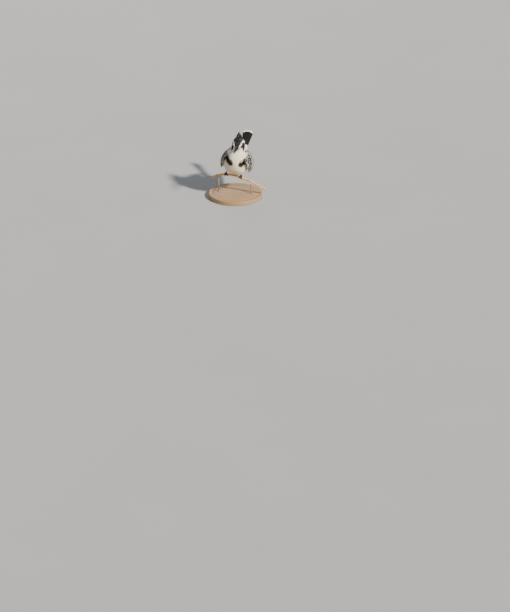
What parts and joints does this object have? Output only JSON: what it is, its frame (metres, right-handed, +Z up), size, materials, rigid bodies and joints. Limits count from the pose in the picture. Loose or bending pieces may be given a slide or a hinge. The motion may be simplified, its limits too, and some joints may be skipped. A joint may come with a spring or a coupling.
{
  "type": "pied kingfisher",
  "caption": "Still life-size pied kingfisher with raised crest and cocked tail, perched on a bent reed held by rods over a round base.",
  "frame": {"origin": "middle of the underside of the stand's round base", "axes": "+Z up, the bird faces -Y, its left side is +X and the reed runs along X"},
  "size_m": [0.1512, 0.2215, 0.1838],
  "materials": {
    "white_plumage": "soft silky feathers",
    "black_plumage": "soft feathers",
    "wing_plumage": "feathers, black with white edges",
    "bill_horn": "satin black horn",
    "eye": "wet dark brown",
    "foot_skin": "scaly matte skin",
    "claw_horn": "satin black horn",
    "dry_reed": "dry satin reed stem",
    "stand_wood": "oiled",
    "stand_steel": "brushed"
  },
  "bodies": {
    "root": {"trunk": "white_plumage", "neck": "white_plumage", "head": "black_plumage", "crest": "black_plumage", "bill_upper": "bill_horn", "bill_lower": "bill_horn", "eye_left": "eye", "eye_right": "eye", "wing_left": "wing_plumage", "wing_right": "wing_plumage", "primaries_left": "wing_plumage", "primaries_right": "wing_plumage", "tail": "black_plumage", "thigh_left": "white_plumage", "thigh_right": "white_plumage", "foot_left": "foot_skin", "foot_right": "foot_skin", "claw_left_inner": "claw_horn", "claw_left_middle": "claw_horn", "claw_left_outer": "claw_horn", "claw_left_hind": "claw_horn", "claw_right_inner": "claw_horn", "claw_right_middle": "claw_horn", "claw_right_outer": "claw_horn", "claw_right_hind": "claw_horn", "perch_reed": "dry_reed", "stand_base": "stand_wood", "stand_rod_left": "stand_steel", "stand_rod_right": "stand_steel"}
  },
  "joints": []
}
